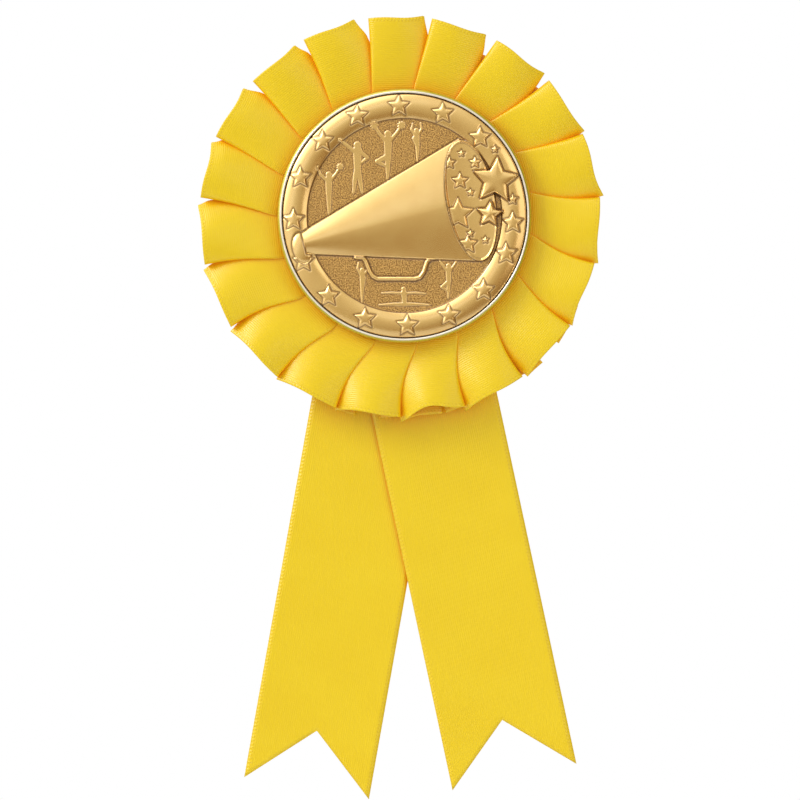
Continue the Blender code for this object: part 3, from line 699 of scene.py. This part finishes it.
def ridge(value, middle, width):
    """1 at the middle and falling off to 0 on both sides of it, over an array."""
    return np.exp(-(((value - middle) / width) ** 2))


def from_limb(x, z, start, end, start_radius, end_radius):
    """How far a point is outside a tapered limb with round ends; below 0 is inside."""
    dx, dz = end[0] - start[0], end[1] - start[1]
    share = np.clip(((x - start[0]) * dx + (z - start[1]) * dz) / (dx * dx + dz * dz), 0, 1)
    gap = np.hypot(x - start[0] - share * dx, z - start[1] - share * dz)
    return gap - start_radius - share * (end_radius - start_radius)


def from_star(x, z, place, radius, turn=0.0, waist=0.5):
    """How far a point is outside a five-pointed star; below 0 is inside."""
    sector = 2 * math.pi / 5
    angle = np.arctan2(x - place[0], z - place[1]) - turn
    angle = np.abs((angle + sector / 2) % sector - sector / 2)
    reach = np.hypot(x - place[0], z - place[1])
    side, out = reach * np.sin(angle), reach * np.cos(angle)
    edge_side = waist * radius * math.sin(sector / 2)
    edge_out = waist * radius * math.cos(sector / 2) - radius
    share = (side * edge_side + (out - radius) * edge_out) / (edge_side**2 + edge_out**2)
    share = np.clip(share, 0, 1)
    gap = np.hypot(side - share * edge_side, out - radius - share * edge_out)
    return np.where(edge_side * (out - radius) - edge_out * side > 0, gap, -gap)


class Relief:
    """The heights of the medal's face, with shares of dark patina (and one painted shadow line) and
    pebbled field for its colour.
    """

    def __init__(self, x, z):
        self.x, self.z = x, z
        self.height = np.full_like(x, FIELD_LEVEL)
        self.patina_and_shade = np.zeros_like(x)
        self.field = np.ones_like(x)

    def outline(self, gap, depth=1.0, width=0.16):
        """A dark line round a shape, just outside it."""
        line = depth * ridge(gap, width / 2, width)
        self.patina_and_shade = np.maximum(self.patina_and_shade, line)
        self.height = self.height - 0.08 * line

    def smooth_out(self, gap, softness=0.12):
        """Clears the pebbles and old grooves inside a shape."""
        inside = 1 - step(gap, -softness, 0)
        self.field = self.field * (1 - inside)
        self.patina_and_shade = self.patina_and_shade * (1 - inside)
        return inside

    def emboss(self, gap, lift, dome):
        """Raises a shape above what is under it, with a short rolled edge and a low dome."""
        self.outline(gap)
        self.smooth_out(gap)
        inner = np.clip(-gap, 0, None)
        self.height = self.height + lift * (1 - np.exp(-inner / 0.13))
        self.height = self.height + dome * (1 - np.exp(-inner / 0.45))

    def cover(self, gap, level, wall=0.18):
        """Puts a shape on top at its own level."""
        self.outline(gap)
        inside = self.smooth_out(gap)
        share = np.maximum(inside, 1 - step(gap, -wall, 0))
        self.height = self.height * (1 - share) + level * share


def add_band(relief):
    """The polished convex band, the step down to the field, and the bevel to the medal's edge."""
    reach = np.hypot(relief.x, relief.z)
    side = np.clip(np.abs(reach - BAND_MIDDLE) / BAND_HALF, 0, 1)
    band = BAND_LEVEL + BAND_CROWN * (1 - side**2)
    outside = step(reach, FIELD_RADIUS - 0.1, FIELD_RADIUS + 0.1)
    relief.height = relief.height * (1 - outside) + band * outside
    bevel = step(reach, MEDAL_EDGE - 0.2, MEDAL_EDGE)
    relief.height = relief.height - 0.2 * bevel
    relief.field = relief.field * (1 - outside)
    relief.patina_and_shade = np.maximum(relief.patina_and_shade, ridge(reach, FIELD_RADIUS, 0.13))


def figure_shape(x, z, feet, tall, arms, legs, lean=0.0, poms=(False, False), stretch=1.0):
    """How far a point is outside an athlete's silhouette, which has no face; below 0 is inside.

    Arms and legs are pairs of (upper, lower) angles, in degrees clockwise from straight up. A stretch
    above 1 makes them longer, and poms says which hands hold a pom-pom. The other lengths and radii are
    shares of how tall the athlete is.
    """

    def reach(start, degrees, length):
        turn = math.radians(degrees)
        return (start[0] + length * tall * math.sin(turn), start[1] + length * tall * math.cos(turn))

    hip = (feet[0], feet[1] + 0.47 * tall)
    neck = reach(hip, lean, 0.36)
    head = reach(neck, lean, 0.10)
    gap = from_limb(x, z, hip, neck, 0.070 * tall, 0.090 * tall)
    gap = np.minimum(gap, np.hypot(x - head[0], z - head[1]) - 0.075 * tall)
    for hand, (upper, lower) in enumerate(arms):
        shoulder = (neck[0] + (hand - 0.5) * 0.11 * tall, neck[1] - 0.03 * tall)
        elbow = reach(shoulder, upper, 0.19 * stretch)
        wrist = reach(elbow, lower, 0.19 * stretch)
        gap = np.minimum(gap, from_limb(x, z, shoulder, elbow, 0.044 * tall, 0.037 * tall))
        gap = np.minimum(gap, from_limb(x, z, elbow, wrist, 0.037 * tall, 0.029 * tall))
        if poms[hand]:
            turn = np.arctan2(x - wrist[0], z - wrist[1])
            ball = 0.085 * tall + 0.012 * tall * np.sin(9 * turn)
            gap = np.minimum(gap, np.hypot(x - wrist[0], z - wrist[1]) - ball)
    for upper, lower in legs:
        knee = reach(hip, upper, 0.24 * stretch)
        ankle = reach(knee, lower, 0.24 * stretch)
        gap = np.minimum(gap, from_limb(x, z, hip, knee, 0.068 * tall, 0.048 * tall))
        gap = np.minimum(gap, from_limb(x, z, knee, ankle, 0.048 * tall, 0.028 * tall))
    return gap


STRAIGHT_LEG = (180, 180)
ATHLETES = [
    dict(
        feet=(-14.7, 0.4),
        tall=8.4,
        arms=((-48, -20), (38, 30)),
        legs=(STRAIGHT_LEG, (176, 180)),
        poms=(False, True),
    ),
    dict(
        feet=(-9.0, 4.6),
        tall=10.2,
        arms=((-50, -52), (130, 232)),
        legs=((192, 186), (167, 170)),
    ),
    dict(
        feet=(-2.9, 7.2),
        tall=9.8,
        arms=((-40, -32), (40, 32)),
        legs=((181, 180), (245, 118)),
        poms=(True, True),
    ),
    dict(
        feet=(3.0, 10.9),
        tall=6.6,
        arms=((-35, 15), (28, -8)),
        legs=(STRAIGHT_LEG, (-30, 24)),
        lean=-4,
    ),
    dict(
        feet=(-8.0, -17.2),
        tall=6.8,
        arms=((-28, 10), (34, 0)),
        legs=((183, 178), (14, -12)),
    ),
    dict(
        feet=(0.4, -20.8),
        tall=6.6,
        arms=((-86, -92), (86, 96)),
        legs=((-90, -93), (90, 93)),
        lean=-3,
        stretch=1.6,
    ),
    dict(
        feet=(9.2, -16.5),
        tall=7.0,
        arms=((-38, -30), (36, 28)),
        legs=((182, 180), (232, 126)),
    ),
]


def add_athletes(relief):
    """Seven small generic athletes round the field, four above the megaphone and three below it."""
    for athlete in ATHLETES:
        gap = figure_shape(relief.x, relief.z, **athlete)
        relief.outline(gap, depth=0.45, width=0.12)
        relief.smooth_out(gap)
        relief.height = relief.height + 0.13 * (1 - step(gap, -0.14, 0.02))


MOUTHPIECE = (-20.0, -6.5)
MOUTHPIECE_TALL, MOUTHPIECE_WIDE = 3.2, 1.9
MOUTHPIECE_LEAN = math.radians(14)
BELL = (13.6, 3.0)
BELL_TALL, BELL_WIDE = 12.2, 4.8
BELL_LEAN = math.radians(10.5)
APEX = (-26.9, -7.4)  # where the cone's two sides would meet
CONE_TOP, CONE_BOTTOM = math.radians(30.9), math.radians(-2.3)
CONE_START = 7.4  # from the apex to the mouthpiece
HANDLE_RADIUS = 0.42
HANDLE = [
    (-9.3, -8.3), (-7.9, -8.4), (-7.4, -9.0), (-6.5, -11.2), (-5.9, -12.1), (-5.0, -12.6),
    (2.5, -12.6), (3.5, -12.3), (4.2, -11.3), (4.9, -9.2), (5.4, -8.6), (6.5, -8.4),
]


def ellipse_shape(x, z, centre, tall, wide, lean):
    """How far a point is outside an ellipse that leans left at its top, and its place across and up."""
    across = (x - centre[0]) * math.cos(lean) + (z - centre[1]) * math.sin(lean)
    up = (z - centre[1]) * math.cos(lean) - (x - centre[0]) * math.sin(lean)
    share = np.maximum(np.hypot(across / wide, up / tall), 1e-4)
    return (share - 1) * np.hypot(across, up) / share, across, up


def add_handle(relief):
    """The bent wire handle under the cone."""
    x, z, radius = relief.x, relief.z, HANDLE_RADIUS
    bars = zip(HANDLE, HANDLE[1:])
    wire = np.minimum.reduce([from_limb(x, z, one, other, radius, radius) for one, other in bars])
    rounded = np.sqrt(np.clip(1 - (wire / radius + 1) ** 2, 0, 1))
    relief.outline(wire, depth=0.8)
    relief.smooth_out(wire)
    level = FIELD_LEVEL + 0.25 + radius * rounded
    relief.height = np.where(wire < 0, level, relief.height)


def add_mouthpiece(relief):
    """The rounded lip at the cone's small end."""
    gap, across, up = ellipse_shape(
        relief.x, relief.z, MOUTHPIECE, MOUTHPIECE_TALL, MOUTHPIECE_WIDE, MOUTHPIECE_LEAN
    )
    share = np.hypot(across / MOUTHPIECE_WIDE, up / MOUTHPIECE_TALL)
    relief.cover(gap, 1.45 + 0.75 * np.sqrt(np.clip(1 - share**2, 0, 1)))


def add_cone(relief, bell, across):
    """The cone from mouthpiece to bell, highest along its middle. Returns its level at each point."""
    x, z = relief.x - APEX[0], relief.z - APEX[1]
    turn, length = np.arctan2(z, x), np.hypot(x, z)
    middle, half = (CONE_TOP + CONE_BOTTOM) / 2, (CONE_TOP - CONE_BOTTOM) / 2
    side = (turn - middle) / half
    past_sides = (np.abs(side) - 1) * half * length
    past_bell = np.where(across < 0, -bell, across + 1)
    before_start = CONE_START - length * np.cos(turn - middle)
    gap = np.maximum.reduce([past_sides, past_bell, before_start])
    rise = 0.42 + 0.036 * length
    level = FIELD_LEVEL + 0.28 + rise * np.clip(1 - np.abs(side) ** 1.6, 0, 1)
    relief.cover(gap, level, wall=0.14)
    return level


def add_bell(relief, bell, across, cone_level):
    """The open end: a shallow dish, a rolled rim round it and a painted shadow line inside the rim."""
    dish = 1.55 + 0.35 * np.clip(across / BELL_WIDE, -1, 1) ** 2
    relief.cover(bell, dish, wall=0.14)
    rim = ridge(bell, -0.10, 0.20)
    rim_level = np.where(across < 0, np.minimum(cone_level + 0.12, FACE_LEVEL), 2.05)
    relief.height = relief.height * (1 - rim) + np.maximum(rim_level, relief.height) * rim
    relief.patina_and_shade = relief.patina_and_shade * (1 - rim)
    # Painted shadow: a dark line in the dish just inside the rim, with no groove under it.
    relief.patina_and_shade = np.maximum(relief.patina_and_shade, 0.5 * ridge(bell, -0.55, 0.14))


def add_megaphone(relief):
    """A plain megaphone. Returns how far each point is outside its bell."""
    add_handle(relief)
    add_mouthpiece(relief)
    bell, across, _ = ellipse_shape(relief.x, relief.z, BELL, BELL_TALL, BELL_WIDE, BELL_LEAN)
    cone_level = add_cone(relief, bell, across)
    add_bell(relief, bell, across, cone_level)
    return bell


def add_border_stars(relief):
    """Sixteen places round the band. The star burst takes one, and the next star makes room for it."""
    for place in range(BORDER_STARS):
        if place == BURST_PLACE:
            continue
        turn = BORDER_START + 2 * math.pi * place / BORDER_STARS
        if place < BURST_PLACE:
            turn += BURST_CREEP * place
        if place == BURST_PLACE + 1:
            turn += BURST_ROOM
        centre = (BORDER_RADIUS * math.sin(turn) + BORDER_ASIDE, BORDER_RADIUS * math.cos(turn))
        relief.emboss(from_star(relief.x, relief.z, centre, BORDER_STAR), lift=0.24, dome=0.05)


# Stars of the burst, as (place, radius), and the two proud ones as (place, radius, level).
STARS_IN_BELL = [
    ((11.1, 0.3), 3.3), ((13.1, -5.7), 2.0), ((11.5, 6.9), 1.7),
    ((14.5, 10.6), 1.2), ((9.4, 10.5), 1.3), ((11.8, 12.4), 0.75),
    ((13.6, 4.6), 0.75), ((13.6, -3.6), 0.75), ((16.6, -4.9), 0.75),
]
STARS_ON_BAND = [((22.0, 3.2), 1.15), ((18.5, 13.2), 0.8)]
PROUD_STARS = [((17.4, 0.3), 2.7, 2.4), ((18.6, 7.0), 4.8, 2.65)]


def add_star_burst(relief, bell):
    """Stars of many sizes flying out of the megaphone's bell."""
    for place, radius in STARS_IN_BELL:
        gap = np.maximum(from_star(relief.x, relief.z, place, radius), bell + 0.35)
        relief.emboss(gap, lift=0.26, dome=0.05)
    for place, radius in STARS_ON_BAND:
        relief.emboss(from_star(relief.x, relief.z, place, radius), lift=0.28, dome=0.06)
    for place, radius, level in PROUD_STARS:
        gap = from_star(relief.x, relief.z, place, radius, turn=math.radians(5))
        inner = np.clip(-gap, 0, None)
        relief.outline(gap, width=0.2)
        relief.cover(gap, level + (FACE_LEVEL - level) * (1 - np.exp(-inner / 0.6)))


def make_relief(x, z):
    """The whole face, drawn from the bottom layer up."""
    relief = Relief(x, z)
    add_band(relief)
    add_border_stars(relief)
    relief.x = x - PICTURE_ASIDE
    add_athletes(relief)
    bell = add_megaphone(relief)
    add_star_burst(relief, bell)
    return relief


def make_medal(gold):
    """A disc with the relief on its front, a straight edge and a flat back."""
    rings = np.linspace(0, 1, MEDAL_RINGS) ** 0.8 * MEDAL_EDGE
    turns = np.linspace(0, 2 * math.pi, MEDAL_SPOKES, endpoint=False)
    reach, turn = np.meshgrid(rings, turns, indexing="ij")
    x, z = reach * np.sin(turn), reach * np.cos(turn)
    relief = make_relief(x, z)
    heights = np.minimum(relief.height, FACE_LEVEL)
    places = (CENTRE.x + x * MM, MEDAL_BACK - heights * MM, CENTRE.z + z * MM)
    points = np.stack(places, axis=-1).reshape(-1, 3)
    back_edge = points[-MEDAL_SPOKES:].copy()
    back_edge[:, 1] = MEDAL_BACK
    faces = grid_faces(MEDAL_RINGS + 1, MEDAL_SPOKES, closed=True)
    faces.append(tuple(range(len(points), len(points) + MEDAL_SPOKES)))
    medal = mesh_piece("gold_medal", np.concatenate([points, back_edge]), faces, gold)
    for name, values in (("patina_and_shade", relief.patina_and_shade), ("field", relief.field)):
        padded = np.concatenate([values.ravel(), np.zeros(MEDAL_SPOKES)])
        layer = medal.data.attributes.new(name, "FLOAT", "POINT")
        layer.data.foreach_set("value", padded.astype(np.float32))
    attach(medal, "rosette")
    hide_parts("medal_insert")


# Stage, light and camera.

FLOOR_GAP = 70 * MM
FLOOR_RADIUS = 0.30
FLOOR_SIDES = 96


def make_stage():
    """A plain pale disc on the floor, well below the hanging tails."""
    mesh = bpy.data.meshes.new("floor")
    maker = bmesh.new()
    bmesh.ops.create_circle(maker, cap_ends=True, segments=FLOOR_SIDES, radius=FLOOR_RADIUS)
    maker.to_mesh(mesh)
    maker.free()
    mesh.materials.append(floor_material())
    floor = bpy.data.objects.new("floor", mesh)
    floor.location = (0, 0, cad_bounds[0].z - FLOOR_GAP)
    bpy.context.collection.objects.link(floor)


def softbox(name, place, aim, size, power, shine=1.0):
    """An area lamp. A shine below 1 makes it weaker in reflections."""
    data = bpy.data.lights.new(name, "AREA")
    data.shape = "RECTANGLE"
    data.size, data.size_y = size
    data.energy = power
    data.specular_factor = shine
    lamp = bpy.data.objects.new(name, data)
    lamp.location = place
    lamp.rotation_euler = (Vector(aim) - Vector(place)).to_track_quat("-Z", "Y").to_euler()
    bpy.context.collection.objects.link(lamp)


LIGHT_FROM = Vector((-0.66, -0.15, 0.73)).normalized()
ROOM_STRENGTH = 0.64
MIRRORED_STRENGTH = 2.6
# What polished metal mirrors, by how nearly it looks towards LIGHT_FROM: 1 is straight at it, -1 away.
MIRRORED_ROOM = [
    (-0.60, (0.10, 0.060, 0.024)),
    (-0.25, (0.15, 0.108, 0.056)),
    (0.05, (0.235, 0.207, 0.148)),
    (0.28, (0.29, 0.268, 0.21)),
    (0.42, (0.46, 0.46, 0.45)),
    (0.56, (0.31, 0.293, 0.25)),
    (0.75, (1.0, 1.0, 1.0)),
]


def mirrored_room_colour(n):
    """The colour of the room that reflections see: bright up left, and warm and dark below."""
    direction = n.add("TexCoord").outputs["Generated"]
    towards = n.add("VectorMath", {0: direction, 1: LIGHT_FROM}, operation="DOT_PRODUCT")
    share = n.add("MapRange", {"Value": towards.outputs["Value"], "From Min": -1.0}).outputs["Result"]
    ramp = n.add("ValToRGB", {"Fac": share})
    while len(ramp.color_ramp.elements) < len(MIRRORED_ROOM):
        ramp.color_ramp.elements.new(0.5)
    for stop, (level, tint) in zip(ramp.color_ramp.elements, MIRRORED_ROOM):
        stop.position = (level + 1) / 2
        stop.color = colour(*tint)
    return ramp.outputs["Color"]


def make_world():
    """A white backdrop for the camera, an even room for light, and a shaded one for reflections."""
    world = bpy.data.worlds.new("studio")
    bpy.context.scene.world = world
    world.use_nodes = True
    n = Nodes(world.node_tree)
    backdrop = n.tree.nodes["Background"]
    n.put(backdrop, "Color", colour(1.0, 1.0, 1.0))
    room = n.add("Background", {"Color": colour(1.0, 0.975, 0.94), "Strength": ROOM_STRENGTH})
    mirrored = n.add("Background", {"Color": mirrored_room_colour(n), "Strength": MIRRORED_STRENGTH})
    ray = n.add("LightPath").outputs
    lit = n.add("MixShader", {0: ray["Is Glossy Ray"], 1: room.outputs[0], 2: mirrored.outputs[0]})
    seen = n.add("MixShader", {0: ray["Is Camera Ray"], 1: lit.outputs[0], 2: backdrop.outputs[0]})
    n.put(n.tree.nodes["World Output"], "Surface", seen.outputs[0])


def make_lamps():
    """A large softbox up left with a small one for glints, a weak fill at the right and one behind."""
    aim = (CENTRE.x, 0, CENTRE.z - 30 * MM)
    softbox("glint", (-0.90, -0.80, 0.42), aim, (0.14, 0.14), 0.6)
    softbox("side", (-0.75, -0.45, 0.50), aim, (0.40, 0.40), 3.9, shine=0.7)
    softbox("fill", (0.6, -0.7, 0.1), aim, (0.5, 0.6), 1.0)
    softbox("behind", (0.2, 0.8, 0.4), aim, (0.6, 0.6), 2.5)


VIEW_HEIGHT = 160 * MM
SENSOR_WIDTH = 36  # millimetres
CAMERA_DISTANCE = 1.6
CAMERA_LEFT = 0.4 * MM
CAMERA_BELOW = 37 * MM  # the view's middle is this far below the cards' middle


def make_camera():
    """Straight at the front, about level with the middle of the object."""
    data = bpy.data.cameras.new("camera")
    data.sensor_width = SENSOR_WIDTH
    data.lens = SENSOR_WIDTH * CAMERA_DISTANCE / VIEW_HEIGHT
    data.clip_start, data.clip_end = 0.05, 20
    camera = bpy.data.objects.new("camera", data)
    in_focus = RUFFLE_BACK - 2 * MM
    camera.location = (
        CARD_CENTRE.x - CAMERA_LEFT,
        in_focus - CAMERA_DISTANCE,
        CARD_CENTRE.z - CAMERA_BELOW,
    )
    camera.rotation_euler = (math.pi / 2, 0, 0)
    bpy.context.collection.objects.link(camera)
    bpy.context.scene.camera = camera


def finish_cad_nodes(materials):
    """Gives each CAD node that stays in view its finished material."""
    for entry in frame["record"]["subparts"]:
        for slot in bpy.data.objects[entry["node"]].material_slots:
            slot.material = materials[entry["material_slot"]]


def main():
    satin = satin_material()
    materials = {
        "satin_ribbon": satin,
        "gold_relief": gold_material(),
        "holder_plastic": holder_material(),
        "card": card_material(),
        "foam_tape": foam_material(),
        "hot_melt_glue": glue_material(),
        "thread": thread_material(),
        "plated_steel": steel_material(),
    }
    finish_cad_nodes(materials)
    make_ruffle(satin)
    make_medal(materials["gold_relief"])
    make_holder(materials["holder_plastic"])
    for side in ("left", "right"):
        make_tail(side, satin)
    make_stage()
    make_world()
    make_lamps()
    make_camera()
    bpy.context.scene.view_settings.view_transform = "Standard"


main()
